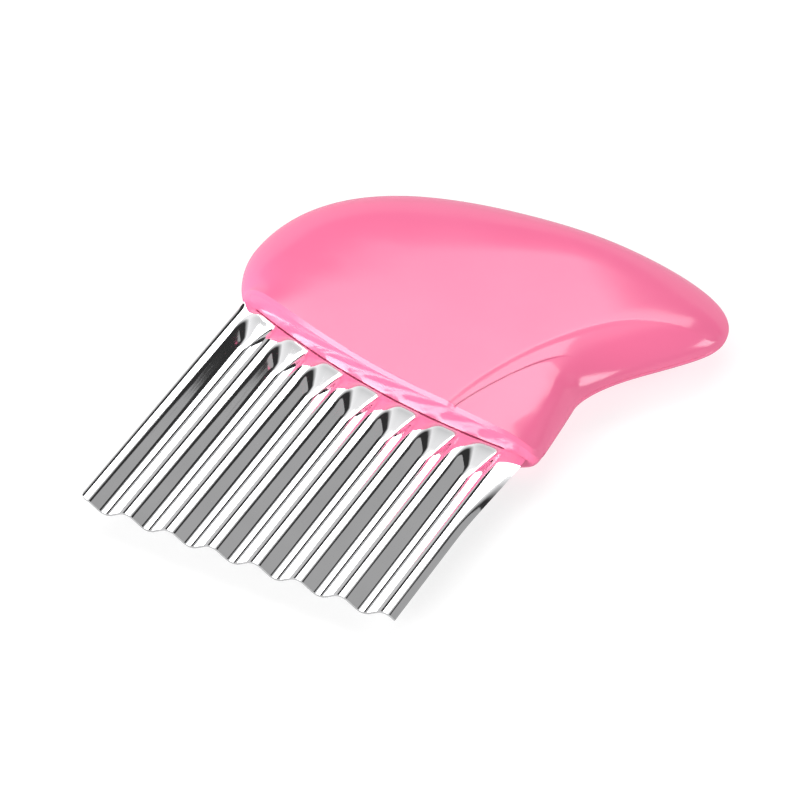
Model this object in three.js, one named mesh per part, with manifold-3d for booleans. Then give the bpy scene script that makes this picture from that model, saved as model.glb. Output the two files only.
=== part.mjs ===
// Crinkle cutter: a fluted steel blade clamped between the two moulded shells of its handle.
// X runs along the cutting edge, Y from the cutting edge to the handle, Z out of the front face.
// Sizes are millimetres. Plan points are measured from the blade's left corner at the cutting edge.

import * as THREE from 'three';
import { mergeVertices } from 'three/addons/utils/BufferGeometryUtils.js';
import Module from 'manifold-3d';

const wasm = await Module();
wasm.setup();

// Blade sheet and its pressed flutes
const SHEET = 0.5;
const FLUTE_COUNT = 7;
const FLUTE_PITCH = 9.6;
const FLUTE_DEPTH = 2.1;
const FLUTE_START = 0.9; // blade's left edge to the first crest
const FLUTE_ROUND = 0.3; // share of a flank that bends at each end
const FLUTE_END_RAMP = 8;
const FLUTE_END_ROUND = 0.3; // share of the ramp that bends at each end
const END_FLANGE = 3.2; // sheet left past the last flute
const FLANGE_START = 28; // the flange flattens from here to the lip
const FLANGE_FLARE = 1.6; // and grows wider by this
const EDGE_THICKNESS = 0.15;
const GRIND_LENGTH = 0.9;
const EXPOSED_LENGTH = 51.6; // cutting edge to lip, where the lip runs level

// Tang, the flat root of the blade inside the handle
const TANG_DEPTH = 17;
const TANG_SHOULDER = 3.5;
const PIN_DIAMETER = 4;
const PIN_SPACING = 22;
const PIN_SETBACK = 9; // lip to pin
const PIN_COUNT = 3;

// Lip, the handle's edge on the blade: level near the right end, rising to the left
const LIP_RISE = 14.3;
const LIP_LEVEL_INSET = 2; // level point of the lip, from the blade's right edge
const LIP_OVERHANG = 0.6;
const LIP_EDGE = 1.5;

// Handle outline
const GRIP_RISE = 65.2; // level of the lip to the top of the back
const CROWN_STATION = 52.5; // top of the back, from the blade's left edge
const LEFT_OVERHANG = 5.6;
const LEFT_RISE = 14.1; // left end of the lip to the widest point of the left end
const TAIL_REACH = 21.5; // past the blade's right edge
const TAIL_DROP = 15.8; // top of the back to the tip of the tail
const SIDE_MARGIN = 4.6; // past the blade's right edge
const NECK_WAIST = 1.2; // how far the neck draws in from the side below it
const NECK_RISE = 18.5; // level of the lip to the neck
const CORNER_RADIUS = 2.6;

// How far the outline's curves run on straight from their end points before they turn
const LIP_SWEEP = 1.8; // lip to left end, both ways
const LEFT_FALL = 6.5; // left end to lip
const LEFT_SWEEP = 17.3; // left end to crown
const CROWN_SWEEP = 46.2; // crown to left end
const BACK_SWEEP = 30; // crown to tail
const TAIL_SWEEP = 8.5; // tail to crown
const TAIL_FALL = 7.4; // tail to neck
const NECK_SWEEP = 10; // neck to tail

// Handle section, one side of the seam
const HALF_THICKNESS = 6.5;
const NOSE_DROP = 1.9; // how much lower the lip is at the left end
const NOSE_ROUND = 8; // reach of the slope that leads down to it
const FULL_STATION = 26; // full height of the lip starts here, from the blade's left edge
const WALL = 2.4;
const BACK_ROUND = 23.5;
const BACK_ROUND_END = 20; // station where the back's rounding starts to narrow
const TAIL_ROUND = 11;
const TAIL_ROUND_START = 64; // station where it is down to the tail's
const GRIP_ROUND = 13;
const CORNER_ROUND = 8.5; // in place of the grip's rounding at the lip
const TAPER_STATION = 66; // the face falls away to the tail from this point on
const TAPER_RISE = 43; // level of the lip to the same point
const TAPER_RADIUS = 110;

// Thumb rest: a soft crease from the lip to the tail, then a sharp ledge, then the rest itself
const CREASE_STATION = 54.3;
const CREASE_LEAN = 3.8;
const CREASE_SWEEP = 21.6;
const CREASE_TAIL_SWEEP = 19.5;
const CREASE_TAIL_DROP = 3;
const CREASE_STEP = 0.3;
const CREASE_SOFTNESS = 0.8;
const LEDGE_STATION = 55.5;
const LEDGE_LEAN = 2.3;
const LEDGE_SWEEP = 9;
const LEDGE_END_INSET = 3; // end of the ledge, left of the neck
const LEDGE_END_RISE = 8; // and above it
const LEDGE_END_SWEEP = 5;
const LEDGE_STEP = 0.35;
const LEDGE_SOFTNESS = 0.2;
const LEDGE_FADE = 6; // length over which the ledge runs out
const REST_TILT = 0.06; // fall away from the crease

// Inside the shells
const RIB = 1.4;
const POST_DIAMETER = 8;
const SOCKET_DEPTH = 1.6; // above the tang
const CLEARANCE = 0.3;

// Facets
const LIP_STEPS = 15;
const CORNER_STEPS = 4;
const SIDE_STEPS = 3;
const NECK_STEPS = 12;
const BACK_STEPS = 13;
const CROWN_STEPS = 18;
const LEFT_STEPS = 5;
const FLUTE_STEPS = 10;
const BODY_ROWS = 3;
const RAMP_ROWS = 6;
const OUTER_RINGS = 13;
const INNER_RINGS = 6;
const ROUND_SIDES = 20;
const RULER_STEPS = 40;
const MERGE_DISTANCE = 1e-4;
const CUT_MARGIN = 1;
const LEAST_STEP = 0.1;
const RING_CROWDING = 1.6; // draws the rings towards the outline
const EDGE_CLOSING = 0.004; // share of the way to the pole of the first ring, which stands the edges upright
const EDGE_BLEND = 8; // power of the mean that blends the edge roundings
const ROUND_EDGE = 2; // power of an elliptic edge

const bladeWidth = FLUTE_COUNT * FLUTE_PITCH + END_FLANGE;
const lipLevelX = bladeWidth - LIP_LEVEL_INSET;
const topY = EXPOSED_LENGTH + GRIP_RISE;
const sideX = bladeWidth + SIDE_MARGIN;
const slotHalf = SHEET / 2 + CLEARANCE;
const { clamp, lerp, smoothstep } = THREE.MathUtils;

function lipY(x) {
  return EXPOSED_LENGTH + LIP_RISE * ((lipLevelX - x) / lipLevelX) ** 2;
}

function at(x, y) {
  return new THREE.Vector2(x, y);
}

// Curve between two points, leaving the first by one offset and reaching the second from another.
function sweep(from, leaving, reaching, to) {
  return new THREE.CubicBezierCurve(from, from.clone().add(leaving), to.clone().add(reaching), to);
}

const lipLeft = at(-LIP_OVERHANG, lipY(-LIP_OVERHANG));
const lipRight = at(sideX - CORNER_RADIUS, lipY(sideX - CORNER_RADIUS));
const leftEnd = at(-LEFT_OVERHANG, lipLeft.y + LEFT_RISE);
const crown = at(CROWN_STATION, topY);
const tailTip = at(bladeWidth + TAIL_REACH, topY - TAIL_DROP);
const neck = at(sideX - NECK_WAIST, EXPOSED_LENGTH + NECK_RISE);

// The outline runs anticlockwise, in stretches that share their end points.
const lipCurve = new THREE.QuadraticBezierCurve(
  lipLeft,
  at((lipLeft.x + lipRight.x) / 2, lipTangentCrossing()),
  lipRight,
);
const sideCorner = at(sideX, lipRight.y);
const sideStart = sideCorner.clone().lerp(neck, CORNER_RADIUS / sideCorner.distanceTo(neck));
const cornerCurve = new THREE.QuadraticBezierCurve(lipRight, sideCorner, sideStart);
const neckCurve = sweep(neck, at(0, NECK_SWEEP), at(0, -TAIL_FALL), tailTip);
const backCurves = [
  sweep(tailTip, at(0, TAIL_SWEEP), at(BACK_SWEEP, 0), crown),
  sweep(crown, at(-CROWN_SWEEP, 0), at(0, LEFT_SWEEP), leftEnd),
  sweep(leftEnd, at(0, -LEFT_FALL), at(-LIP_SWEEP, LIP_SWEEP), lipLeft),
];
const outlineSteps = [
  [lipCurve, LIP_STEPS],
  [cornerCurve, CORNER_STEPS],
  [new THREE.LineCurve(sideStart, neck), SIDE_STEPS],
  [neckCurve, NECK_STEPS],
  [backCurves[0], BACK_STEPS],
  [backCurves[1], CROWN_STEPS],
  [backCurves[2], LEFT_STEPS],
];
const outline = outlineSteps.flatMap(([curve, steps]) => curve.getPoints(steps).slice(0, -1));
const pole = outline.reduce((sum, point) => sum.add(point), at(0, 0)).divideScalar(outline.length);

const creaseEnd = at(tailTip.x, tailTip.y - CREASE_TAIL_DROP);
const creaseStart = at(CREASE_STATION, lipY(CREASE_STATION));
const crease = sweep(creaseStart, at(CREASE_LEAN, CREASE_SWEEP), at(-CREASE_TAIL_SWEEP, 0), creaseEnd);
const ledgeEnd = at(neck.x - LEDGE_END_INSET, neck.y + LEDGE_END_RISE);
const ledgeStart = at(LEDGE_STATION, lipY(LEDGE_STATION));
const ledge = sweep(ledgeStart, at(LEDGE_LEAN, LEDGE_SWEEP), at(-LEDGE_END_SWEEP, 0), ledgeEnd);

const lipRuler = [...lipCurve.getPoints(RULER_STEPS), ...cornerCurve.getPoints(RULER_STEPS)];
const gripRuler = [sideCorner, ...neckCurve.getPoints(RULER_STEPS)];
const backRuler = backCurves.flatMap((curve) => curve.getPoints(RULER_STEPS));
const creaseRuler = crease.getPoints(RULER_STEPS);
const ledgeRuler = ledge.getPoints(RULER_STEPS);

// A parabola is a quadratic curve whose middle control point lies where its end tangents cross.
function lipTangentCrossing() {
  const slope = (-2 * LIP_RISE * (lipLevelX - lipLeft.x)) / lipLevelX ** 2;
  return lipLeft.y + (slope * (lipRight.x - lipLeft.x)) / 2;
}

// Distance from a plan point to a line of points; positive on the right of the line's direction.
function rule(points, x, y) {
  let nearest = Infinity;
  let signed = 0;
  for (let i = 1; i < points.length; i += 1) {
    const dx = points[i].x - points[i - 1].x;
    const dy = points[i].y - points[i - 1].y;
    const px = x - points[i - 1].x;
    const py = y - points[i - 1].y;
    const along = clamp((px * dx + py * dy) / Math.max(dx * dx + dy * dy, Number.EPSILON), 0, 1);
    const distance = Math.hypot(px - along * dx, py - along * dy);
    if (distance < nearest) {
      nearest = distance;
      signed = Math.sign(dy * px - dx * py) * distance;
    }
  }
  return { nearest, signed };
}

// Height of a rounded edge, from 0 at the outline to 1 past its reach.
function edgeRise(distance, reach, power) {
  const inside = clamp(distance / reach, 0, 1);
  return (1 - (1 - inside) ** power) ** (1 / power);
}

// Depth of the thumb rest below the flat face.
function thumbDrop(x, y) {
  const pastCrease = rule(creaseRuler, x, y).signed;
  const pastLedge = rule(ledgeRuler, x, y).signed;
  const ledgeShare = 1 - smoothstep(y, ledgeEnd.y - LEDGE_FADE, ledgeEnd.y);
  return CREASE_STEP * smoothstep(pastCrease, -CREASE_SOFTNESS, CREASE_SOFTNESS)
    + LEDGE_STEP * ledgeShare * smoothstep(pastLedge, -LEDGE_SOFTNESS, LEDGE_SOFTNESS)
    + REST_TILT * Math.max(pastCrease, 0);
}

// Share of the face's height at a gap from the lip: an upright front with a rounded edge, lower to the left.
function lipRise(gap, x, flat, inset) {
  if (gap <= 0) {
    return 0;
  }
  const away = clamp((FULL_STATION - x) / (FULL_STATION + LEFT_OVERHANG), 0, 1);
  const radius = Math.max(LIP_EDGE - inset, CLEARANCE);
  const edge = radius * (1 - edgeRise(gap, radius, ROUND_EDGE));
  const nose = NOSE_DROP * away ** 2 * (1 - edgeRise(gap, NOSE_ROUND, ROUND_EDGE));
  return 1 - edge / flat - nose / HALF_THICKNESS;
}

// Height of a shell's face above the seam, for a surface set in by a wall thickness.
function faceHeight(x, y, inset) {
  const pastTaper = (x - TAPER_STATION + y - EXPOSED_LENGTH - TAPER_RISE) * Math.SQRT1_2;
  const flat = HALF_THICKNESS - inset - Math.max(pastTaper, 0) ** 2 / (2 * TAPER_RADIUS);
  if (flat <= 0) {
    return 0;
  }
  const backRound = lerp(BACK_ROUND, TAIL_ROUND, smoothstep(x, BACK_ROUND_END, TAIL_ROUND_START));
  const gripRound = lerp(CORNER_ROUND, GRIP_ROUND, smoothstep(y, EXPOSED_LENGTH, neck.y));
  const rises = [
    lipRise(rule(lipRuler, x, y).nearest - inset, x, flat, inset),
    edgeRise(rule(backRuler, x, y).nearest - inset, backRound - inset, ROUND_EDGE),
    edgeRise(rule(gripRuler, x, y).nearest - inset, gripRound - inset, ROUND_EDGE)
      * (1 - thumbDrop(x, y) / flat),
  ];
  if (Math.min(...rises) <= 0) {
    return 0;
  }
  const mean = rises.reduce((sum, rise) => sum + rise ** -EDGE_BLEND, 0) / rises.length;
  return flat * mean ** (-1 / EDGE_BLEND);
}

function triangles(corners) {
  const geometry = new THREE.BufferGeometry();
  const numbers = corners.flatMap((corner) => [corner.x, corner.y, corner.z]);
  geometry.setAttribute('position', new THREE.Float32BufferAttribute(numbers, 3));
  return geometry;
}

function solid(geometry) {
  geometry.deleteAttribute('normal');
  geometry.deleteAttribute('uv');
  const merged = mergeVertices(geometry, MERGE_DISTANCE);
  const vertProperties = new Float32Array(merged.attributes.position.array);
  const triVerts = new Uint32Array(merged.index.array);
  return new wasm.Manifold(new wasm.Mesh({ numProp: 3, vertProperties, triVerts }));
}

function named(name, body, material) {
  const { vertProperties, triVerts } = body.getMesh();
  const geometry = new THREE.BufferGeometry();
  geometry.setAttribute('position', new THREE.BufferAttribute(vertProperties, 3));
  geometry.setIndex(new THREE.BufferAttribute(triVerts, 1));
  geometry.computeVertexNormals();
  const mesh = new THREE.Mesh(geometry, material);
  mesh.name = name;
  return mesh;
}

// Outline point moved towards the pole until it lies one wall inside the outline.
function insetPoint(index, inset) {
  const point = outline[index];
  const before = outline.at(index - 1);
  const after = outline[(index + 1) % outline.length];
  const tangent = after.clone().sub(before).normalize();
  const inward = pole.clone().sub(point);
  const length = inward.length();
  const square = Math.abs(tangent.cross(inward)) / length;
  return point.clone().addScaledVector(inward, inset / square / length);
}

// Closed dome over the outline: a flat floor, rings that close in on the pole, and a cap.
// side is 1 for the front of the seam and -1 for the rear.
function dome(inset, floor, ringCount, side) {
  const rings = [];
  const edge = outline.map((_, index) => insetPoint(index, inset));
  for (let ring = 0; ring < ringCount; ring += 1) {
    const crowded = ((ring - 1) / (ringCount - 1)) ** RING_CROWDING;
    const closing = ring < 2 ? ring * EDGE_CLOSING : crowded;
    rings.push(edge.map((point) => {
      const { x, y } = point.clone().lerp(pole, closing);
      const z = ring === 0 ? floor : Math.max(faceHeight(x, y, inset), floor + LEAST_STEP);
      return new THREE.Vector3(x, y, side * z);
    }));
  }
  const top = new THREE.Vector3(pole.x, pole.y, side * faceHeight(pole.x, pole.y, inset));
  const bottom = new THREE.Vector3(pole.x, pole.y, side * floor);
  const corners = [];
  const face = (a, b, c) => corners.push(...(side > 0 ? [a, b, c] : [a, c, b]));
  for (let i = 0; i < edge.length; i += 1) {
    const next = (i + 1) % edge.length;
    face(bottom, rings[0][next], rings[0][i]);
    face(rings.at(-1)[i], rings.at(-1)[next], top);
    for (let ring = 1; ring < ringCount; ring += 1) {
      face(rings[ring - 1][i], rings[ring - 1][next], rings[ring][next]);
      face(rings[ring - 1][i], rings[ring][next], rings[ring][i]);
    }
  }
  return solid(triangles(corners));
}

function box(x0, x1, y0, y1, z0, z1) {
  const geometry = new THREE.BoxGeometry(x1 - x0, y1 - y0, Math.abs(z1 - z0));
  geometry.translate((x0 + x1) / 2, (y0 + y1) / 2, (z0 + z1) / 2);
  return solid(geometry);
}

function post(point, diameter, z0, z1) {
  const geometry = new THREE.CylinderGeometry(diameter / 2, diameter / 2, Math.abs(z1 - z0), ROUND_SIDES);
  geometry.rotateX(Math.PI / 2);
  geometry.translate(point.x, point.y, (z0 + z1) / 2);
  return solid(geometry);
}

function joined(bodies) {
  return bodies.reduce((sum, body) => sum.add(body));
}

const pinStations = Array.from({ length: PIN_COUNT }, (_, index) => {
  const x = bladeWidth / 2 + (index - (PIN_COUNT - 1) / 2) * PIN_SPACING;
  return at(x, lipY(x) + PIN_SETBACK);
});

// Pocket in both shells for the tang, open at the lip.
function tangSlot() {
  const stations = spaced(TANG_SHOULDER - CLEARANCE, bladeWidth - TANG_SHOULDER + CLEARANCE, FLUTE_PITCH);
  const front = stations.map((x) => at(x, lipY(x) - CUT_MARGIN));
  const back = stations.map((x) => at(x, lipY(x) + TANG_DEPTH + CLEARANCE)).reverse();
  const slot = new THREE.ExtrudeGeometry(new THREE.Shape([...front, ...back]), {
    depth: 2 * slotHalf,
    bevelEnabled: false,
  });
  slot.translate(0, 0, -slotHalf);
  return solid(slot);
}

// Ribs between the pins, which bear on the tang from both sides.
function ribs(side) {
  const stations = Array.from({ length: PIN_COUNT + 1 }, (_, index) => (
    bladeWidth / 2 + (index - PIN_COUNT / 2) * PIN_SPACING
  ));
  return stations.map((x) => (
    box(x - RIB / 2, x + RIB / 2, lipY(x) + LIP_EDGE, topY, side * slotHalf, side * HALF_THICKNESS)
  ));
}

// A shell without its pins or sockets, and the ribs and posts that fill its inside up to the wall.
function shell(side) {
  const top = side * HALF_THICKNESS;
  const posts = pinStations.map((point) => post(point, POST_DIAMETER, side * slotHalf, top));
  const filled = dome(WALL / 2, -CUT_MARGIN, INNER_RINGS, side);
  const inside = joined([...ribs(side), ...posts]).intersect(filled);
  const skin = dome(0, 0, OUTER_RINGS, side).subtract(dome(WALL, -CUT_MARGIN, INNER_RINGS, side));
  return skin.subtract(tangSlot()).add(inside);
}

function frontShell() {
  const bore = PIN_DIAMETER + 2 * CLEARANCE;
  const sockets = pinStations.map((point) => post(point, bore, 0, slotHalf + SOCKET_DEPTH + CLEARANCE));
  return shell(1).subtract(joined(sockets));
}

function rearShell() {
  const base = -slotHalf - CUT_MARGIN;
  const pins = pinStations.map((point) => post(point, PIN_DIAMETER, base, slotHalf + SOCKET_DEPTH));
  return shell(-1).add(joined(pins));
}

function spaced(from, to, step) {
  const count = Math.max(1, Math.ceil((to - from) / step));
  return Array.from({ length: count + 1 }, (_, index) => lerp(from, to, index / count));
}

// Straight rise from 0 to 1 with a parabolic bend at each end, over the given share of the way.
function bentRise(share, bend) {
  const inside = clamp(share, 0, 1);
  const first = Math.min(inside, bend) ** 2 / (2 * bend);
  const straight = clamp(inside - bend, 0, 1 - 2 * bend);
  const last = Math.max(inside - 1 + bend, 0);
  return (first + straight + last - last ** 2 / (2 * bend)) / (1 - bend);
}

// Middle of the sheet: flutes pressed down from the flat root, each ending in a ramp at the lip.
// The flange past the last crest is curled down, and flattens towards the lip.
function sheetHeight(x, y) {
  const turn = (x - FLUTE_START) / FLUTE_PITCH;
  const flute = bentRise(2 * Math.abs(turn - Math.round(turn)), FLUTE_ROUND);
  const grown = turn > FLUTE_COUNT
    ? 1 - smoothstep(y, FLANGE_START, EXPOSED_LENGTH)
    : bentRise((lipY(x) - y) / FLUTE_END_RAMP, FLUTE_END_ROUND);
  return -FLUTE_DEPTH * flute * grown;
}

// How far the flange's sheet lies out from its station, where it flattens.
function flangeFlare(x, y) {
  const lastCrest = FLUTE_START + FLUTE_COUNT * FLUTE_PITCH;
  const share = clamp((x - lastCrest) / (bladeWidth - lastCrest), 0, 1);
  return FLANGE_FLARE * share * smoothstep(y, FLANGE_START, EXPOSED_LENGTH);
}

// Rows of the sheet at one station: cutting edge, grind, body, flute ends, shoulder and tang.
function sheetRows(x) {
  const shoulder = lipY(x) - CLEARANCE;
  const rampStart = lipY(x) - FLUTE_END_RAMP;
  const rows = [0];
  for (let row = 0; row < BODY_ROWS; row += 1) {
    rows.push(lerp(GRIND_LENGTH, rampStart, row / BODY_ROWS));
  }
  for (let row = 0; row <= RAMP_ROWS; row += 1) {
    rows.push(lerp(rampStart, shoulder, row / RAMP_ROWS));
  }
  rows.push(lipY(x) + CLEARANCE, lipY(x) + TANG_DEPTH);
  return rows;
}

function blade() {
  const step = FLUTE_PITCH / FLUTE_STEPS;
  const shoulders = [0, TANG_SHOULDER, bladeWidth - TANG_SHOULDER, bladeWidth];
  const parts = [0, 1, 2].map((part) => spaced(shoulders[part], shoulders[part + 1], step));
  const stations = [...parts[0].slice(0, -1), ...parts[1].slice(0, -1), ...parts[2]];
  const rows = stations.map(sheetRows);
  const rowCount = rows[0].length;
  const shoulderRow = 1 + BODY_ROWS + RAMP_ROWS;
  const isSheet = (i, j) => i >= 0 && j >= 0 && i < stations.length - 1 && j < rowCount - 1
    && (j < shoulderRow || (stations[i] >= shoulders[1] && stations[i + 1] <= shoulders[2]));
  const corner = (i, j, upper) => {
    const middle = sheetHeight(stations[i], rows[i][j]);
    const thickness = j === 0 ? EDGE_THICKNESS : SHEET;
    const z = middle - SHEET / 2 + (upper ? thickness : 0);
    const flare = flangeFlare(stations[i], rows[i][j]);
    return new THREE.Vector3(stations[i] + flare, rows[i][j], z);
  };
  const corners = [];
  const quad = (a, b, c, d) => corners.push(a, b, c, a, c, d);
  const wall = (i0, j0, i1, j1) => (
    quad(corner(i0, j0, false), corner(i1, j1, false), corner(i1, j1, true), corner(i0, j0, true))
  );
  for (let i = 0; i < stations.length - 1; i += 1) {
    for (let j = 0; j < rowCount - 1; j += 1) {
      if (isSheet(i, j)) {
        const [a, b, c, d] = [[i, j], [i + 1, j], [i + 1, j + 1], [i, j + 1]];
        quad(corner(...a, true), corner(...b, true), corner(...c, true), corner(...d, true));
        quad(corner(...a, false), corner(...d, false), corner(...c, false), corner(...b, false));
        if (!isSheet(i, j - 1)) {
          wall(i, j, i + 1, j);
        }
        if (!isSheet(i + 1, j)) {
          wall(i + 1, j, i + 1, j + 1);
        }
        if (!isSheet(i, j + 1)) {
          wall(i + 1, j + 1, i, j + 1);
        }
        if (!isSheet(i - 1, j)) {
          wall(i, j + 1, i, j);
        }
      }
    }
  }
  const hole = PIN_DIAMETER + 2 * CLEARANCE;
  const holes = pinStations.map((point) => post(point, hole, -SHEET - CUT_MARGIN, SHEET + CUT_MARGIN));
  return solid(triangles(corners)).subtract(joined(holes));
}

const pinkPlastic = new THREE.MeshStandardMaterial({ color: 0xfd86b0, roughness: 0.22, metalness: 0 });
const polishedSteel = new THREE.MeshStandardMaterial({ color: 0xd9dadc, roughness: 0.08, metalness: 1 });

// The cutter lies on the flat of its rear shell, centred on its own box.
const cutter = new THREE.Group();
cutter.add(named('front_shell', frontShell(), pinkPlastic));
cutter.add(named('rear_shell', rearShell(), pinkPlastic));
cutter.add(named('blade', blade(), polishedSteel));
const extent = new THREE.Box3().setFromObject(cutter);
const centre = extent.getCenter(new THREE.Vector3());
cutter.position.set(-centre.x, -centre.y, -extent.min.z);

export default cutter;
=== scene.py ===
"""Crinkle cutter: a polished, fluted blade in a glossy moulded handle, on a white studio floor.

Lengths are metres. Plan points are measured from the blade's left corner at the cutting edge: X along the
edge, Y towards the handle, and heights from the seam between the handle's two shells.
"""

import math

import bpy
import numpy as np
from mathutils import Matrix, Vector


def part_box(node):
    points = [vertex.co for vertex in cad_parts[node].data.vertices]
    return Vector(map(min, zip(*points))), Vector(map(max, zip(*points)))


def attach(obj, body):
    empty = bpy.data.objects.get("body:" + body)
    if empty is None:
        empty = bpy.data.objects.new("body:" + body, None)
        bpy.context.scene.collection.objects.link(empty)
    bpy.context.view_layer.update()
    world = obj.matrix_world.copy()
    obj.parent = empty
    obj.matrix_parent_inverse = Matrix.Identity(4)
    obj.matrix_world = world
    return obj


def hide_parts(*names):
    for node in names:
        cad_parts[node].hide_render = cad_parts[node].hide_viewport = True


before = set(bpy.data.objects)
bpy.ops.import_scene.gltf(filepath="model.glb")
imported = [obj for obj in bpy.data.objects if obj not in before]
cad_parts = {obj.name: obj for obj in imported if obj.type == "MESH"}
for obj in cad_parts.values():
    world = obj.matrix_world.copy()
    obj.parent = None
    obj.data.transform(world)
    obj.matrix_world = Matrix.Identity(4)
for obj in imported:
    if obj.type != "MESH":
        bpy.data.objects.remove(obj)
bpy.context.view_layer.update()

# Blade
SHEET = 0.0005
FLUTE_PITCH = 0.0096
FLUTE_COUNT = 7
FLUTE_DEPTH = 0.0021
FLUTE_START = 0.0009  # blade's left edge to the first crest
FLUTE_ROUND = 0.34  # share of a flank that bends at each end
FLUTE_END_ROUND = 0.22  # the same at the lip
FLUTE_END_RAMP = 0.0093  # length over which a flute runs out
FLUTE_END_BRINK = 0.66  # power that steepens this ramp next to the lip
FLUTE_LEFT_CORNER = 2.2  # power of the curve that a flute ends in, on its left
FLUTE_RIGHT_CORNER = 6.0  # and on its right
FLANGE_FLARE = 0.0016  # the flange past the last flute grows wider by this at the lip
FLANGE_START = 0.025  # and does so from here on
FLANGE_FLATTEN = 0.27  # while it flattens by this share
EDGE_THICKNESS = 0.00045
GRIND_LENGTH = 0.0009
EXPOSED_LENGTH = 0.0516  # cutting edge to lip, where the lip runs level
TANG_DEPTH = 0.017
TANG_SHOULDER = 0.0035
BLADE_CORNER = 0.0016

# Sizes that the frame holds
blade_low, blade_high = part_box("blade")
shell_low, shell_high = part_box("front_shell")
PLAN_ORIGIN = np.array([blade_low.x, blade_low.y, shell_low.z])
BLADE_WIDTH = blade_high.x - blade_low.x - FLANGE_FLARE
TOP_Y = shell_high.y - blade_low.y
HALF_THICKNESS = shell_high.z - shell_low.z
LEFT_OVERHANG = blade_low.x - shell_low.x
TAIL_X = shell_high.x - blade_low.x

# Handle outline
LIP_RISE = 0.0143
LIP_LEVEL_INSET = 0.002  # level point of the lip, from the blade's right edge
LIP_OVERHANG = 0.0006
CROWN_X = 0.0525
LEFT_RISE = 0.0141  # left end of the lip to the widest point of the left end
TAIL_DROP = 0.0158  # top of the back to the tip of the tail
SIDE_MARGIN = 0.0046  # past the blade's right edge
NECK_WAIST = 0.0012  # how far the neck draws in from the side below it
NECK_RISE = 0.0185  # level of the lip to the neck
CORNER_RADIUS = 0.0026

# How far the outline's curves run on straight from their end points before they turn
LIP_SWEEP = 0.0018  # lip to left end, both ways
LEFT_FALL = 0.0065  # left end to lip
LEFT_SWEEP = 0.0173  # left end to crown
CROWN_SWEEP = 0.0462  # crown to left end
BACK_SWEEP = 0.030  # crown to tail
TAIL_SWEEP = 0.0085  # tail to crown
TAIL_FALL = 0.0074  # tail to neck
NECK_SWEEP = 0.010  # neck to tail

# Handle section, one side of the seam
LIP_EDGE = 0.0006  # width of the slope that breaks the lip's edge
LIP_EDGE_SLOPE = 1.43
NOSE_DROP = 0.0019  # how much lower the lip is at the left end
NOSE_ROUND = 0.008  # reach of the slope that leads down to it
NOSE_SIDE_ROUND = 0.0155  # the back's rounding where it meets the lip
NOSE_SIDE_FADE = (0.003, 0.020)  # gaps from the lip over which it grows to the back's own
FULL_STATION = 0.026  # the lip's full height starts here
WALL = 0.0024
BACK_ROUND = 0.0245
BACK_ROUND_END = 0.020  # station where the back's rounding starts to narrow
TAIL_ROUND = 0.0125
TAIL_ROUND_START = 0.064  # station where it is down to the tail's
TAPER_STATION = 0.066  # the face falls away to the tail from this point on
TAPER_RISE = 0.043  # level of the lip to the same point
TAPER_RADIUS = 0.082
GRIP_ROUND = 0.013
CORNER_ROUND = 0.0085  # in place of the grip's rounding at the lip
NECK_ROUND = 0.006  # and at the neck
CORNER_TURN = (0.053, 0.060)  # levels from the corner's rounding to the neck's
GRIP_TURN = (0.064, 0.084)  # levels from the neck's to the grip's
SEAM_CHAMFER = 0.00008
LIP_GAP = 0.00006  # lip to the blade's shoulders
SLOT_GAP = 0.0003  # lip to the blade's face

# Thumb rest: a soft crease from the lip to the tail, then a ledge, then the rest itself
CREASE_STATION = 0.0543
CREASE_LEAN = 0.0038
CREASE_SWEEP = 0.0216
CREASE_TAIL_SWEEP = 0.0195
CREASE_TAIL_DROP = 0.003
CREASE_STEP = 0.0003
CREASE_SOFTNESS = 0.0008
CREASE_FADE = (0.070, 0.084)  # stations over which the crease runs out
LEDGE_STATION = 0.0555
LEDGE_LEAN = 0.0023
LEDGE_SWEEP = 0.009
LEDGE_END_INSET = 0.003  # end of the ledge, left of the neck
LEDGE_END_RISE = 0.008  # and above it
LEDGE_END_SWEEP = 0.005
LEDGE_FALL = 0.00015
LEDGE_FALL_SOFTNESS = 0.0006
LEDGE_LINE = 0.00026  # depth of the fine line that the plastic's bump adds to the ledge
LEDGE_LINE_SOFTNESS = 0.0002
LEDGE_FADE = 0.006  # length over which the ledge runs out
REST_TILT = 0.15  # fall away from the crease
REST_TAIL_TILT = 0.3  # the same on the tail
REST_TURN = (0.068, 0.086)  # levels from the one to the other

# Grids
OUTLINE_STEPS = 640
OUTER_RINGS = 118
INNER_RINGS = 12
RING_CROWDING = 2.0  # power that draws the rings towards the outline
RULER_STEPS = 90  # straight steps that stand for a curve
RULER_CHUNK = 4000  # least number of points to split off and measure at a time
CALM_STEPS = 6  # points of the circle that a distance is averaged round
CALM_SHARE = 0.5  # its radius, as a share of the distance
FLUTE_STEPS = 52
GRIND_ROWS = 4
BODY_ROWS = 24
RAMP_ROWS = 60
TANG_ROWS = 6
EDGE_BLEND = 8  # power of the mean that blends the edge roundings
ROUND_EDGE = 2  # power of an elliptic edge
LEAST_STEP = 0.00001
SHARP_ANGLE = math.radians(38)
GROUND_ANGLE = math.radians(12)

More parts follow.
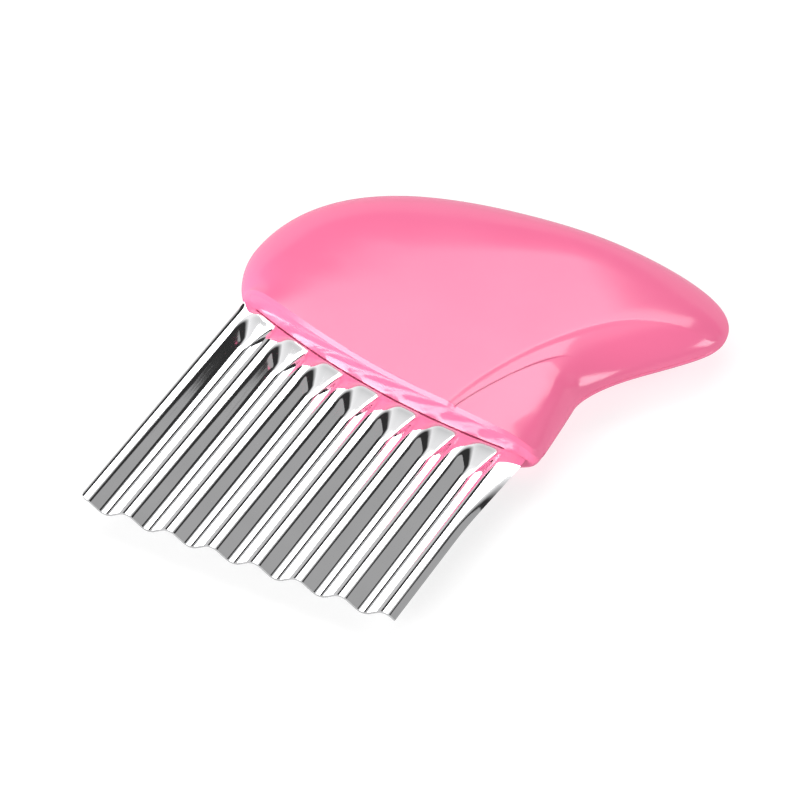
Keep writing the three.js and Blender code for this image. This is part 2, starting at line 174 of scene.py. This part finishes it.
# Finishes
SMUDGE_DETAIL = 4.0
SMUDGE_LIMITS = (0.35, 0.7)  # noise where a smudge starts, and where it is full
HAIRLINE_LIMITS = (0.62, 0.72)  # the same for a hairline
HAIRLINE_TURN = 0.5
HAIRLINE_STRETCH = 0.04
PLASTIC_PINKS = ((0.985, 0.183, 0.355, 1), (0.995, 0.207, 0.393, 1))
PLASTIC_ROUGHNESS = (0.13, 0.18)  # clean, and under a smudge
PLASTIC_IOR = 1.55
PLASTIC_MARKS = (60.0, 900.0)  # scales of smudges and hairlines
CLOUD_SCALE = 45.0
CLOUD_DETAIL = 3.0
PEEL_SCALE = 900.0
PEEL_STRENGTH = 0.02
STEEL_GREYS = ((0.93, 0.93, 0.94, 1), (0.88, 0.88, 0.89, 1))
STEEL_ROUGHNESS = (0.05, 0.11)  # polished, and along a hairline
STEEL_MARKS = (90.0, 2500.0)
GRAIN_SCALE = 1800.0
GRAIN_STRETCH = 0.02
GRAIN_STRENGTH = 0.012
FINE_DETAIL = 2.0
FINE_DEPTH = 0.0002

# Camera, in the photograph's frame; angles are degrees
CAMERA_AZIMUTH = 28.3
CAMERA_ELEVATION = 42.52
CAMERA_DISTANCE = 1.03795
CAMERA_AIM = (0.042067, 0.05476, 0.0)
CAMERA_LENS = 232.7
CAMERA_SENSOR = 36.0

# Studio; the world's limits are parts of a unit direction
WHITE = (1, 1, 1, 1)
FLOOR_HALF = 6.0
FLOOR_GREYS = ((0.34, 0.34, 0.34, 1), (0.36, 0.36, 0.36, 1))
FLOOR_CLOUD_SCALE = 3.0
FLOOR_ROUGHNESS = 0.9
FLOOR_GLOW = (0.73, 0.25)  # where the floor is seen, and where it is mirrored
SKY_HEIGHTS = (math.sin(math.radians(46)), math.sin(math.radians(49)))
SKY_RIGHT = (0.3, 0.1)  # X where the sky is dark, and where it is full
SKY_DEPTHS = (0.0, 0.3)  # Y where it is dim, and where it is full
SKY_DIM = 0.6
BACKDROP_HEIGHTS = (math.sin(math.radians(26)), math.sin(math.radians(23)))
BACKDROP_LIGHT = 0.6
GAP_LIGHT = 0.03
SEEN_LIGHT = 1.0

LIP_LEVEL_X = BLADE_WIDTH - LIP_LEVEL_INSET
SIDE_X = BLADE_WIDTH + SIDE_MARGIN
TAPER_START = (TAPER_STATION, EXPOSED_LENGTH + TAPER_RISE)


def smoothstep(value, low, high):
    """Cubic step: 3s^2 - 2s^3 of the share s of the way from low to high."""
    share = np.clip((value - low) / (high - low), 0, 1)
    return share * share * (3 - 2 * share)


def lerp(low, high, share):
    """Straight blend of two values."""
    return low + (high - low) * share


def bezier(points, count):
    """Bezier curve of any degree: each control point weighted by its Bernstein polynomial."""
    t = np.linspace(0, 1, count)[:, None]
    degree = len(points) - 1
    weights = [math.comb(degree, k) * t**k * (1 - t) ** (degree - k) for k in range(degree + 1)]
    return sum(weight * np.asarray(point) for weight, point in zip(weights, points))


def sweep(start, leaving, reaching, end):
    """Control points of a curve that leaves its start by one offset and reaches its end from another."""
    start, end = np.asarray(start), np.asarray(end)
    return [start, start + leaving, end + reaching, end]


def lip_y(x):
    """Lip line: a parabola, level near the blade's right edge and rising to the left."""
    return EXPOSED_LENGTH + LIP_RISE * ((LIP_LEVEL_X - x) / LIP_LEVEL_X) ** 2


lip_left = np.array([-LIP_OVERHANG, lip_y(-LIP_OVERHANG)])
lip_right = np.array([SIDE_X - CORNER_RADIUS, lip_y(SIDE_X - CORNER_RADIUS)])
side_corner = np.array([SIDE_X, lip_right[1]])
neck = np.array([SIDE_X - NECK_WAIST, EXPOSED_LENGTH + NECK_RISE])
side_start = lerp(side_corner, neck, CORNER_RADIUS / np.linalg.norm(neck - side_corner))
tail_tip = np.array([TAIL_X, TOP_Y - TAIL_DROP])
crown = np.array([CROWN_X, TOP_Y])
left_end = np.array([-LEFT_OVERHANG, lip_left[1] + LEFT_RISE])
lip_slope = -2 * LIP_RISE * (LIP_LEVEL_X - lip_left[0]) / LIP_LEVEL_X**2
lip_span = lip_right[0] - lip_left[0]
lip_middle = lip_left + np.array([lip_span / 2, lip_slope * lip_span / 2])

neck_curve = sweep(neck, (0, NECK_SWEEP), (0, -TAIL_FALL), tail_tip)

LIP_CURVES = [[lip_left, lip_middle, lip_right], [lip_right, side_corner, side_start]]
GRIP_CURVES = [[side_corner, neck], neck_curve]
BACK_CURVES = [
    sweep(tail_tip, (0, TAIL_SWEEP), (BACK_SWEEP, 0), crown),
    sweep(crown, (-CROWN_SWEEP, 0), (0, LEFT_SWEEP), left_end),
    sweep(left_end, (0, -LEFT_FALL), (-LIP_SWEEP, LIP_SWEEP), lip_left),
]
crease_start = (CREASE_STATION, lip_y(CREASE_STATION))
crease_end = (tail_tip[0], tail_tip[1] - CREASE_TAIL_DROP)
CREASE_CURVES = [sweep(crease_start, (CREASE_LEAN, CREASE_SWEEP), (-CREASE_TAIL_SWEEP, 0), crease_end)]
ledge_start = (LEDGE_STATION, lip_y(LEDGE_STATION))
ledge_end = neck + (-LEDGE_END_INSET, LEDGE_END_RISE)
LEDGE_CURVES = [sweep(ledge_start, (LEDGE_LEAN, LEDGE_SWEEP), (-LEDGE_END_SWEEP, 0), ledge_end)]


def chain(curves):
    """Points along curves that follow each other."""
    runs = [bezier(curve, RULER_STEPS + 1)[:-1] for curve in curves]
    return np.concatenate([*runs, [curves[-1][-1]]])


def rule(curves, plan):
    """Distance from plan points to a chain of curves, and its sign: positive right of its direction."""
    line = chain(curves)
    start, step = line[:-1], np.diff(line, axis=0)
    square = (step**2).sum(1)
    distances, signs = [], []
    for part in np.array_split(plan, max(1, len(plan) // RULER_CHUNK)):
        offset = part[:, None] - start
        along = np.clip((offset * step).sum(2) / square, 0, 1)
        gap = ((offset - along[..., None] * step) ** 2).sum(2)
        nearest = gap.argmin(1)
        rows = np.arange(len(part))
        turn = step[nearest, 1] * offset[rows, nearest, 0] - step[nearest, 0] * offset[rows, nearest, 1]
        distances.append(np.sqrt(gap[rows, nearest]))
        signs.append(np.sign(turn))
    return np.concatenate(distances), np.concatenate(signs)


def past(curves, plan):
    """Signed distance of plan points past a chain of curves."""
    return np.prod(rule(curves, plan), 0)


def calm_distance(curves, plan):
    """Distance to a chain of curves, averaged round a circle that grows with it.

    It leaves no ridge in the middle of a bend, and is the plain distance along a straight edge.
    """
    radius = CALM_SHARE * rule(curves, plan)[0]
    turns = 2 * math.pi * np.arange(CALM_STEPS) / CALM_STEPS
    spots = [plan + np.outer(radius, (math.cos(turn), math.sin(turn))) for turn in turns]
    return np.mean([rule(curves, spot)[0] for spot in spots], 0)


def edge_rise(distance, reach, power):
    """Height of a rounded edge, from 0 at the outline to 1 past its reach: a superellipse."""
    inside = np.clip(distance / reach, 0, 1)
    return (1 - (1 - inside) ** power) ** (1 / power)


def thumb_drop(plan):
    """Depth of the thumb rest: a tilt away from the crease, steeper on the tail."""
    tilt = lerp(REST_TILT, REST_TAIL_TILT, smoothstep(plan[:, 1], *REST_TURN))
    return tilt * np.maximum(past(CREASE_CURVES, plan), 0)


def ledge_share(plan):
    """Share of the ledge that is left, which runs out towards its upper end."""
    return 1 - smoothstep(plan[:, 1], ledge_end[1] - LEDGE_FADE, ledge_end[1])


def rest_steps(plan):
    """Depth of the thumb rest's two cubic steps: the crease, which fades along the tail, and the ledge."""
    crease = smoothstep(past(CREASE_CURVES, plan), -CREASE_SOFTNESS, CREASE_SOFTNESS)
    ledge = smoothstep(past(LEDGE_CURVES, plan), -LEDGE_FALL_SOFTNESS, LEDGE_FALL_SOFTNESS)
    fading = 1 - smoothstep(plan[:, 0], *CREASE_FADE)
    return CREASE_STEP * fading * crease + LEDGE_FALL * ledge_share(plan) * ledge


def lip_rise(gap, x):
    """Share of the face's height at a gap from the lip's upright front.

    To the left the lip is lower by a square of the way, and an elliptic slope leads down to it.
    """
    away = np.clip((FULL_STATION - x) / (FULL_STATION + LEFT_OVERHANG), 0, 1)
    nose = NOSE_DROP * away**2 * (1 - edge_rise(gap, NOSE_ROUND, ROUND_EDGE))
    return np.where(gap > 0, 1 - nose / HALF_THICKNESS, 0)


def lip_edge(gap):
    """Depth of the straight slope that breaks the lip's upper edge."""
    return LIP_EDGE_SLOPE * np.maximum(LIP_EDGE - gap, 0)


def back_reach(plan, lip_gap):
    """Reach of the back's rounding: narrower along the tail, and where the back meets the lip."""
    along = lerp(BACK_ROUND, TAIL_ROUND, smoothstep(plan[:, 0], BACK_ROUND_END, TAIL_ROUND_START))
    nose = lerp(NOSE_SIDE_ROUND, BACK_ROUND, smoothstep(lip_gap, *NOSE_SIDE_FADE))
    return np.minimum(along, nose)


def grip_reach(plan):
    """Reach of the grip's rounding, from the corner at the lip past the tight neck to the tail."""
    below = lerp(CORNER_ROUND, NECK_ROUND, smoothstep(plan[:, 1], *CORNER_TURN))
    return lerp(below, GRIP_ROUND, smoothstep(plan[:, 1], *GRIP_TURN))


def face_height(plan, inset):
    """Height of a shell's face above the seam, for a surface set in by a wall thickness.

    The face is flat but for the thumb rest's steps and the tail, where it falls away as a large circle. The
    lip, back and grip edges round it off, a power mean of the three blends them, and a slope breaks the
    lip's edge.
    """
    past_taper = (plan - TAPER_START).sum(1) / math.sqrt(2)
    flat = HALF_THICKNESS - inset - np.maximum(past_taper, 0) ** 2 / (2 * TAPER_RADIUS)
    lip_gap = rule(LIP_CURVES, plan)[0]
    back_gap = calm_distance(BACK_CURVES, plan)
    grip_gap = rule(GRIP_CURVES, plan)[0]
    grip_rise = edge_rise(grip_gap - inset, grip_reach(plan) - inset, ROUND_EDGE)
    rises = np.stack([
        lip_rise(lip_gap - inset, plan[:, 0]),
        edge_rise(back_gap - inset, back_reach(plan, lip_gap) - inset, ROUND_EDGE),
        grip_rise * (1 - thumb_drop(plan) / flat),
    ])
    rises = np.maximum(rises, LEAST_STEP)
    blended = (rises**-EDGE_BLEND).mean(0) ** (-1 / EDGE_BLEND)
    return (flat - rest_steps(plan)) * blended - lip_edge(lip_gap - inset)


def even_steps(line, count):
    """Points spaced evenly along a closed line."""
    closed = np.concatenate([line, line[:1]])
    length = np.concatenate([[0], np.cumsum(np.linalg.norm(np.diff(closed, axis=0), axis=1))])
    stations = np.linspace(0, length[-1], count, endpoint=False)
    return np.stack([np.interp(stations, length, closed[:, axis]) for axis in (0, 1)], 1)


def slot_floor(outline):
    """Height of a shell's edge above the seam: half the blade and a gap at the slot, elsewhere nothing."""
    x = outline[:, 0]
    slot_end = BLADE_WIDTH - TANG_SHOULDER
    on_lip = np.abs(outline[:, 1] - lip_y(x)) < LEAST_STEP
    share = smoothstep(x, TANG_SHOULDER - LIP_EDGE, TANG_SHOULDER)
    share *= 1 - smoothstep(x, slot_end, slot_end + LIP_EDGE)
    return (SHEET / 2 + SLOT_GAP) * share * on_lip


def handle_half():
    """Points of half the handle as rings round a pole, their count, and what the plastic reads there.

    The rings run over the inside from its pole, across the seam and over the outside to its pole. Ring k of
    the n outside lies (k/n)^2 of the way from the outline to the pole, so that they crowd where the edge
    turns. The two poles come last.
    """
    outline = chain([*LIP_CURVES, [side_start, neck], neck_curve, *BACK_CURVES])[:-1]
    outline = even_steps(outline, OUTLINE_STEPS)
    pole = outline.mean(0)
    floor = slot_floor(outline)
    tangent = np.roll(outline, -1, 0) - np.roll(outline, 1, 0)
    inward = np.stack([-tangent[:, 1], tangent[:, 0]], 1) / np.linalg.norm(tangent, axis=1)[:, None]
    wall_line = outline + inward * WALL
    rings = []
    for ring in range(1, INNER_RINGS):
        plan = lerp(pole, wall_line, ring / INNER_RINGS)
        rings.append(np.column_stack([plan, np.maximum(face_height(plan, WALL), floor + LEAST_STEP)]))
    rings.append(np.column_stack([wall_line, floor]))
    rings.append(np.column_stack([outline + inward * SEAM_CHAMFER, floor]))
    for ring in range(1, OUTER_RINGS):
        plan = lerp(outline, pole, (ring / OUTER_RINGS) ** RING_CROWDING)
        rings.append(np.column_stack([plan, np.maximum(face_height(plan, 0), floor + LEAST_STEP)]))
    poles = np.array([[*pole, face_height(pole[None], inset)[0]] for inset in (WALL, 0)])
    points = np.concatenate([*rings, poles])
    plan = points[:, :2]
    measures = {
        "on_face": smoothstep(rule(LIP_CURVES, plan)[0], LIP_EDGE / 2, LIP_EDGE),
        "past_ledge": past(LEDGE_CURVES, plan),
        "ledge_share": ledge_share(plan),
    }
    return points, len(rings), measures


def ring_faces(count, side):
    """Quads between neighbouring rings and a fan round each pole, turned outwards on either side."""
    grid = np.arange(count * OUTLINE_STEPS).reshape(count, OUTLINE_STEPS)
    turned = np.roll(grid, -1, 1)
    quads = np.stack([grid[:-1], turned[:-1], turned[1:], grid[1:]], -1).reshape(-1, 4)
    inner_pole = np.full(OUTLINE_STEPS, grid.size)
    outer_pole = inner_pole + 1
    fans = np.concatenate([
        np.column_stack([inner_pole, turned[0], grid[0]]),
        np.column_stack([outer_pole, grid[-1], turned[-1]]),
    ])
    if side < 0:
        quads, fans = quads[:, ::-1], fans[:, ::-1]
    return quads, fans


def put_in_scene(name, points, quads, triangles, material, sharp_angle, measures):
    """Makes a smooth piece from plan points, with sharp edges where its faces turn by more than an angle.

    measures holds the values that the material reads at each point, by name.
    """
    mesh = bpy.data.meshes.new(name)
    faces = [*np.asarray(quads).tolist(), *np.asarray(triangles).tolist()]
    mesh.from_pydata((points + PLAN_ORIGIN).tolist(), [], faces)
    mesh.shade_smooth()
    mesh.set_sharp_from_angle(angle=sharp_angle)
    for measure_name, values in measures.items():
        mesh.attributes.new(measure_name, "FLOAT", "POINT").data.foreach_set("value", values)
    mesh.materials.append(material)
    mesh.update()
    piece = bpy.data.objects.new(name, mesh)
    bpy.context.scene.collection.objects.link(piece)
    return piece


def shell(name, side, half, material):
    """Half of the handle: side is 1 for the front of the seam and -1 for its mirror image at the rear."""
    points, count, measures = half
    quads, fans = ring_faces(count, side)
    return put_in_scene(name, points * (1, 1, side), quads, fans, material, SHARP_ANGLE, measures)


def bent_rise(share, bend):
    """Straight rise from 0 to 1 with a parabolic bend at each end, over the given share of the way."""
    share = np.clip(share, 0, 1)
    straight = share - bend / 2
    first = share**2 / (2 * bend)
    last = 1 - bend - (1 - share) ** 2 / (2 * bend)
    return np.where(share < bend, first, np.where(share > 1 - bend, last, straight)) / (1 - bend)


def sheet_height(x, y):
    """Middle of the sheet: flutes pressed down from the flat root, with straight flanks and bent crests.

    At the lip a flute ends like a superellipse, rounder on its left; its depth follows the share of the way
    in from that outline, and its brim is bent more sharply. The flange past the last crest is bent down,
    and flattens towards the lip.
    """
    turn = (x - FLUTE_START) / FLUTE_PITCH
    side = 2 * np.abs(turn - np.round(turn))
    end = np.clip((lip_y(x) - y) / FLUTE_END_RAMP, 0, 1) ** FLUTE_END_BRINK
    corner = np.where(turn > np.round(turn), FLUTE_LEFT_CORNER, FLUTE_RIGHT_CORNER)
    inside = 1 - ((1 - side) ** corner + (1 - end) ** corner) ** (1 / corner)
    flange = side * (1 - FLANGE_FLATTEN * smoothstep(y, FLANGE_START, EXPOSED_LENGTH))
    reach = np.where(turn > FLUTE_COUNT, flange, inside)
    return -FLUTE_DEPTH * bent_rise(reach, lerp(FLUTE_END_ROUND, FLUTE_ROUND, end))


def flange_flare(x, y):
    """How far the flange's sheet lies out from its station, where it widens."""
    last_crest = FLUTE_START + FLUTE_COUNT * FLUTE_PITCH
    share = np.clip((x - last_crest) / (BLADE_WIDTH - last_crest), 0, 1)
    return FLANGE_FLARE * share * smoothstep(y, FLANGE_START, EXPOSED_LENGTH)


def sheet_rows(x):
    """Rows of the sheet at each station, and its edge, whose left corner is a quarter circle.

    The rows run over the grind, the body, the flutes' ends and the tang.
    """
    left = np.clip(1 - x / BLADE_CORNER, 0, 1)
    edge = BLADE_CORNER * (1 - np.sqrt(1 - left**2))
    ramp_start = lip_y(x) - FLUTE_END_RAMP
    tang_start = lip_y(x) - LIP_GAP
    runs = [
        (edge, edge + GRIND_LENGTH, GRIND_ROWS),
        (edge + GRIND_LENGTH, ramp_start, BODY_ROWS),
        (ramp_start, tang_start, RAMP_ROWS),
        (tang_start, lip_y(x) + TANG_DEPTH, TANG_ROWS),
    ]
    rows = [lerp(low, high, np.arange(count)[:, None] / count) for low, high, count in runs]
    return np.concatenate([*rows, [runs[-1][1]]]), edge


def blade(material):
    """Pressed sheet as a grid of stations and rows.

    It is thickened along its normals, which come from small steps of its height, and ground underneath.
    """
    count = round(BLADE_WIDTH / FLUTE_PITCH * FLUTE_STEPS)
    station = np.linspace(0, BLADE_WIDTH, count + 1)
    y, edge = sheet_rows(station)
    x = np.broadcast_to(station, y.shape)
    in_tang = y > lip_y(x) - LIP_GAP / 2
    x = np.where(in_tang, np.clip(x, TANG_SHOULDER, BLADE_WIDTH - TANG_SHOULDER), x)
    middle = np.stack([x + flange_flare(x, y), y, sheet_height(x, y)], -1)
    step = LEAST_STEP
    slope_x = (sheet_height(x + step, y) - sheet_height(x - step, y)) / (2 * step)
    slope_y = (sheet_height(x, y + step) - sheet_height(x, y - step)) / (2 * step)
    normal = np.stack([-slope_x, -slope_y, np.ones_like(x)], -1)
    normal /= np.linalg.norm(normal, axis=-1, keepdims=True)
    ground = np.clip((y - edge) / GRIND_LENGTH, 0, 1)
    lower = lerp(EDGE_THICKNESS, SHEET, ground) - SHEET / 2
    top = middle + normal * SHEET / 2
    bottom = middle - normal * lower[..., None]
    points = np.concatenate([top.reshape(-1, 3), bottom.reshape(-1, 3)])
    grid = np.arange(y.size).reshape(y.shape)
    upper = np.stack([grid[:-1, :-1], grid[:-1, 1:], grid[1:, 1:], grid[1:, :-1]], -1).reshape(-1, 4)
    rim = np.concatenate([grid[0, :-1], grid[:-1, -1], grid[-1, :0:-1], grid[:0:-1, 0]])
    after = np.roll(rim, -1)
    walls = np.stack([rim, rim + y.size, after + y.size, after], -1)
    quads = np.concatenate([upper, upper[:, ::-1] + y.size, walls])
    return put_in_scene("polished_blade", points, quads, np.zeros((0, 3), int), material, GROUND_ANGLE, {})


def new_material(name):
    """Node material with an empty tree but for its Principled shader and output."""
    material = bpy.data.materials.new(name)
    material.use_nodes = True
    tree = material.node_tree
    return material, tree, tree.nodes["Principled BSDF"]


def put(tree, socket, value):
    """Sets a socket to a value, or links another node's output to it."""
    if isinstance(value, bpy.types.NodeSocket):
        tree.links.new(value, socket)
    else:
        socket.default_value = value


def add(tree, kind, **inputs):
    """Adds a node and sets its inputs by name; an input may be a value or another node's output."""
    node = tree.nodes.new(kind)
    for name, value in inputs.items():
        put(tree, node.inputs[name.replace("_", " ")], value)
    return node


def calculate(tree, operation, *values):
    """Result of a sum on values that are numbers or other nodes' outputs."""
    node = tree.nodes.new("ShaderNodeMath")
    node.operation = operation
    for socket, value in zip(node.inputs, values):
        put(tree, socket, value)
    return node.outputs["Value"]


def band(tree, value, limits=(0, 1), ends=(0, 1)):
    """Straight blend from one end to the other while a node's output goes from one limit to the other."""
    node = add(tree, "ShaderNodeMapRange", Value=value, From_Min=limits[0], From_Max=limits[1],
               To_Min=ends[0], To_Max=ends[1])
    return node.outputs["Result"]


def measure(tree, name):
    """Value of a piece's own measure at the shaded point."""
    node = tree.nodes.new("ShaderNodeAttribute")
    node.attribute_name = name
    return node.outputs["Fac"]


def tint(tree, shader, mask, colours):
    """Blends a shader's colour between two colours by a mask."""
    mix = tree.nodes.new("ShaderNodeMix")
    mix.data_type = "RGBA"
    mix.inputs["A"].default_value, mix.inputs["B"].default_value = colours
    tree.links.new(mask, mix.inputs["Factor"])
    tree.links.new(mix.outputs["Result"], shader.inputs["Base Color"])


def handling_marks():
    """Group for marks of use: a soft smudge mask and a hairline mask, each of its own scale."""
    group = bpy.data.node_groups.new("handling_marks", "ShaderNodeTree")
    for name in ("Smudge Scale", "Hairline Scale"):
        group.interface.new_socket(name, in_out="INPUT", socket_type="NodeSocketFloat")
    for name in ("Smudge", "Hairline"):
        group.interface.new_socket(name, in_out="OUTPUT", socket_type="NodeSocketFloat")
    given = group.nodes.new("NodeGroupInput").outputs
    result = group.nodes.new("NodeGroupOutput").inputs
    place = group.nodes.new("ShaderNodeTexCoord").outputs["Object"]
    soft = add(group, "ShaderNodeTexNoise", Vector=place, Scale=given["Smudge Scale"], Detail=SMUDGE_DETAIL)
    drawn = add(group, "ShaderNodeMapping", Vector=place, Rotation=(0, 0, HAIRLINE_TURN),
                Scale=(1, HAIRLINE_STRETCH, 1))
    thin = add(group, "ShaderNodeTexNoise", Vector=drawn.outputs["Vector"], Scale=given["Hairline Scale"])
    group.links.new(band(group, soft.outputs["Fac"], limits=SMUDGE_LIMITS), result["Smudge"])
    group.links.new(band(group, thin.outputs["Fac"], limits=HAIRLINE_LIMITS), result["Hairline"])
    return group


def marks(tree, group, smudge_scale, hairline_scale):
    """Places the shared group of marks in a material with its own scales, and gives its outputs."""
    node = tree.nodes.new("ShaderNodeGroup")
    node.node_tree = group
    node.inputs["Smudge Scale"].default_value = smudge_scale
    node.inputs["Hairline Scale"].default_value = hairline_scale
    return node.outputs


def pink_plastic(group):
    """Glossy moulded plastic: faint clouding of the pink, slight smudges and a fine orange-peel bump.

    A second bump sharpens the thumb rest's ledge to a fine line.
    """
    material, tree, shader = new_material("pink_gloss_plastic")
    use = marks(tree, group, *PLASTIC_MARKS)
    place = tree.nodes.new("ShaderNodeTexCoord").outputs["Object"]
    cloud = add(tree, "ShaderNodeTexNoise", Vector=place, Scale=CLOUD_SCALE, Detail=CLOUD_DETAIL)
    tint(tree, shader, cloud.outputs["Fac"], PLASTIC_PINKS)
    put(tree, shader.inputs["Roughness"], band(tree, use["Smudge"], ends=PLASTIC_ROUGHNESS))
    peel = add(tree, "ShaderNodeTexNoise", Vector=place, Scale=PEEL_SCALE, Detail=FINE_DETAIL)
    bump = add(tree, "ShaderNodeBump", Strength=PEEL_STRENGTH, Distance=FINE_DEPTH,
               Height=peel.outputs["Fac"])
    line = add(tree, "ShaderNodeMapRange", Value=measure(tree, "past_ledge"), From_Min=-LEDGE_LINE_SOFTNESS,
               From_Max=LEDGE_LINE_SOFTNESS, To_Max=-LEDGE_LINE)
    line.interpolation_type = "SMOOTHSTEP"
    fading = calculate(tree, "MULTIPLY", line.outputs["Result"], measure(tree, "ledge_share"))
    lined = add(tree, "ShaderNodeBump", Strength=measure(tree, "on_face"), Distance=1.0, Height=fading,
                Normal=bump.outputs["Normal"])
    put(tree, shader.inputs["Normal"], lined.outputs["Normal"])
    shader.inputs["IOR"].default_value = PLASTIC_IOR
    return material


def polished_steel(group):
    """Mirror-polished stainless sheet: a faint rolled grain along the flutes, hairlines and smudges."""
    material, tree, shader = new_material("polished_steel")
    use = marks(tree, group, *STEEL_MARKS)
    shader.inputs["Metallic"].default_value = 1.0
    tint(tree, shader, use["Smudge"], STEEL_GREYS)
    put(tree, shader.inputs["Roughness"], band(tree, use["Hairline"], ends=STEEL_ROUGHNESS))
    place = tree.nodes.new("ShaderNodeTexCoord").outputs["Object"]
    drawn = add(tree, "ShaderNodeMapping", Vector=place, Scale=(1, GRAIN_STRETCH, 1))
    grain = add(tree, "ShaderNodeTexNoise", Vector=drawn.outputs["Vector"], Scale=GRAIN_SCALE,
                Detail=FINE_DETAIL)
    bump = add(tree, "ShaderNodeBump", Strength=GRAIN_STRENGTH, Distance=FINE_DEPTH,
               Height=grain.outputs["Fac"])
    put(tree, shader.inputs["Normal"], bump.outputs["Normal"])
    return material


def studio_floor():
    """White floor: pale diffuse paint that keeps the shadow, lifted to white where it is seen."""
    material, tree, shader = new_material("white_floor")
    place = tree.nodes.new("ShaderNodeTexCoord").outputs["Object"]
    cloud = add(tree, "ShaderNodeTexNoise", Vector=place, Scale=FLOOR_CLOUD_SCALE)
    tint(tree, shader, cloud.outputs["Fac"], FLOOR_GREYS)
    shader.inputs["Roughness"].default_value = FLOOR_ROUGHNESS
    shader.inputs["Specular IOR Level"].default_value = 0.0
    shader.inputs["Emission Color"].default_value = WHITE
    mirrored = tree.nodes.new("ShaderNodeLightPath").outputs["Is Glossy Ray"]
    put(tree, shader.inputs["Emission Strength"], band(tree, mirrored, ends=FLOOR_GLOW))
    corners = [(-1, -1, 0), (1, -1, 0), (1, 1, 0), (-1, 1, 0)]
    mesh = bpy.data.meshes.new("studio_floor")
    mesh.from_pydata((FLOOR_HALF * np.array(corners)).tolist(), [], [(0, 1, 2, 3)])
    mesh.materials.append(material)
    floor = bpy.data.objects.new("studio_floor", mesh)
    bpy.context.scene.collection.objects.link(floor)


def studio_light():
    """World as a studio: a sky, dim over the camera and dark on the right, a dark gap and a white backdrop.

    The light is the sky times its side and depth shares, plus the backdrop. The camera itself sees white.
    """
    world = bpy.data.worlds.new("studio")
    world.use_nodes = True
    bpy.context.scene.world = world
    tree = world.node_tree
    way = tree.nodes.new("ShaderNodeTexCoord").outputs["Generated"]
    parts = add(tree, "ShaderNodeSeparateXYZ", Vector=way).outputs
    sky = band(tree, parts["Z"], limits=SKY_HEIGHTS)
    side = band(tree, parts["X"], limits=SKY_RIGHT)
    depth = band(tree, parts["Y"], limits=SKY_DEPTHS, ends=(SKY_DIM, 1))
    backdrop = band(tree, parts["Z"], limits=BACKDROP_HEIGHTS, ends=(0, BACKDROP_LIGHT))
    shaded_sky = calculate(tree, "MULTIPLY", sky, side)
    lit = calculate(tree, "MULTIPLY_ADD", shaded_sky, depth, backdrop)
    seen = tree.nodes.new("ShaderNodeLightPath").outputs["Is Camera Ray"]
    shown = add(tree, "ShaderNodeMix", Factor=seen, A=lit, B=SEEN_LIGHT)
    background = tree.nodes["Background"]
    put(tree, background.inputs["Strength"], calculate(tree, "MAXIMUM", shown.outputs["Result"], GAP_LIGHT))
    background.inputs["Color"].default_value = WHITE


def direction(azimuth, elevation):
    """Unit vector at angles in degrees: azimuth from +Y towards +X, elevation above the floor."""
    azimuth, elevation = math.radians(azimuth), math.radians(elevation)
    level = math.cos(elevation)
    return Vector((math.sin(azimuth) * level, math.cos(azimuth) * level, math.sin(elevation)))


def softbox(name, azimuth, elevation, distance, width, height, radiance):
    """Rectangular lamp that faces the cutter, placed by its angles seen from there."""
    way = direction(azimuth, elevation)
    data = bpy.data.lights.new(name, "AREA")
    data.shape = "RECTANGLE"
    data.size = width
    data.size_y = height
    data.energy = radiance * math.pi * width * height
    lamp = bpy.data.objects.new(name, data)
    lamp.location = way * distance
    lamp.rotation_euler = way.to_track_quat("Z", "Y").to_euler()
    bpy.context.scene.collection.objects.link(lamp)


def camera():
    """Level camera at the photograph's angles; its azimuth runs from -Y towards +X."""
    back = direction(180 - CAMERA_AZIMUTH, CAMERA_ELEVATION)
    data = bpy.data.cameras.new("camera")
    data.lens = CAMERA_LENS
    data.sensor_width = CAMERA_SENSOR
    eye = bpy.data.objects.new("camera", data)
    eye.location = Vector(PLAN_ORIGIN) + Vector(CAMERA_AIM) + back * CAMERA_DISTANCE
    eye.rotation_euler = (-back).to_track_quat("-Z", "Y").to_euler()
    bpy.context.scene.collection.objects.link(eye)
    bpy.context.scene.camera = eye


def dress(piece, node):
    """Seats a piece on the cutter in place of the node that it stands for."""
    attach(piece, "root")
    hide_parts(node)


bpy.context.scene.view_settings.view_transform = "Standard"
camera()
studio_light()
softbox("far_softbox", azimuth=-34, elevation=50.3, distance=1.1, width=1.45, height=0.41, radiance=3.15)
softbox("front_window", azimuth=214, elevation=19.5, distance=0.9, width=0.62, height=0.65, radiance=6.7)
softbox("right_softbox", azimuth=76, elevation=35, distance=1.0, width=0.36, height=0.36, radiance=6.3)
softbox("grey_panel", azimuth=42.8, elevation=40, distance=0.7, width=0.155, height=0.19, radiance=0.35)
studio_floor()
use_marks = handling_marks()
plastic = pink_plastic(use_marks)
steel = polished_steel(use_marks)
half = handle_half()
dress(shell("front_half", 1, half, plastic), "front_shell")
dress(shell("rear_half", -1, half, plastic), "rear_shell")
dress(blade(steel), "blade")
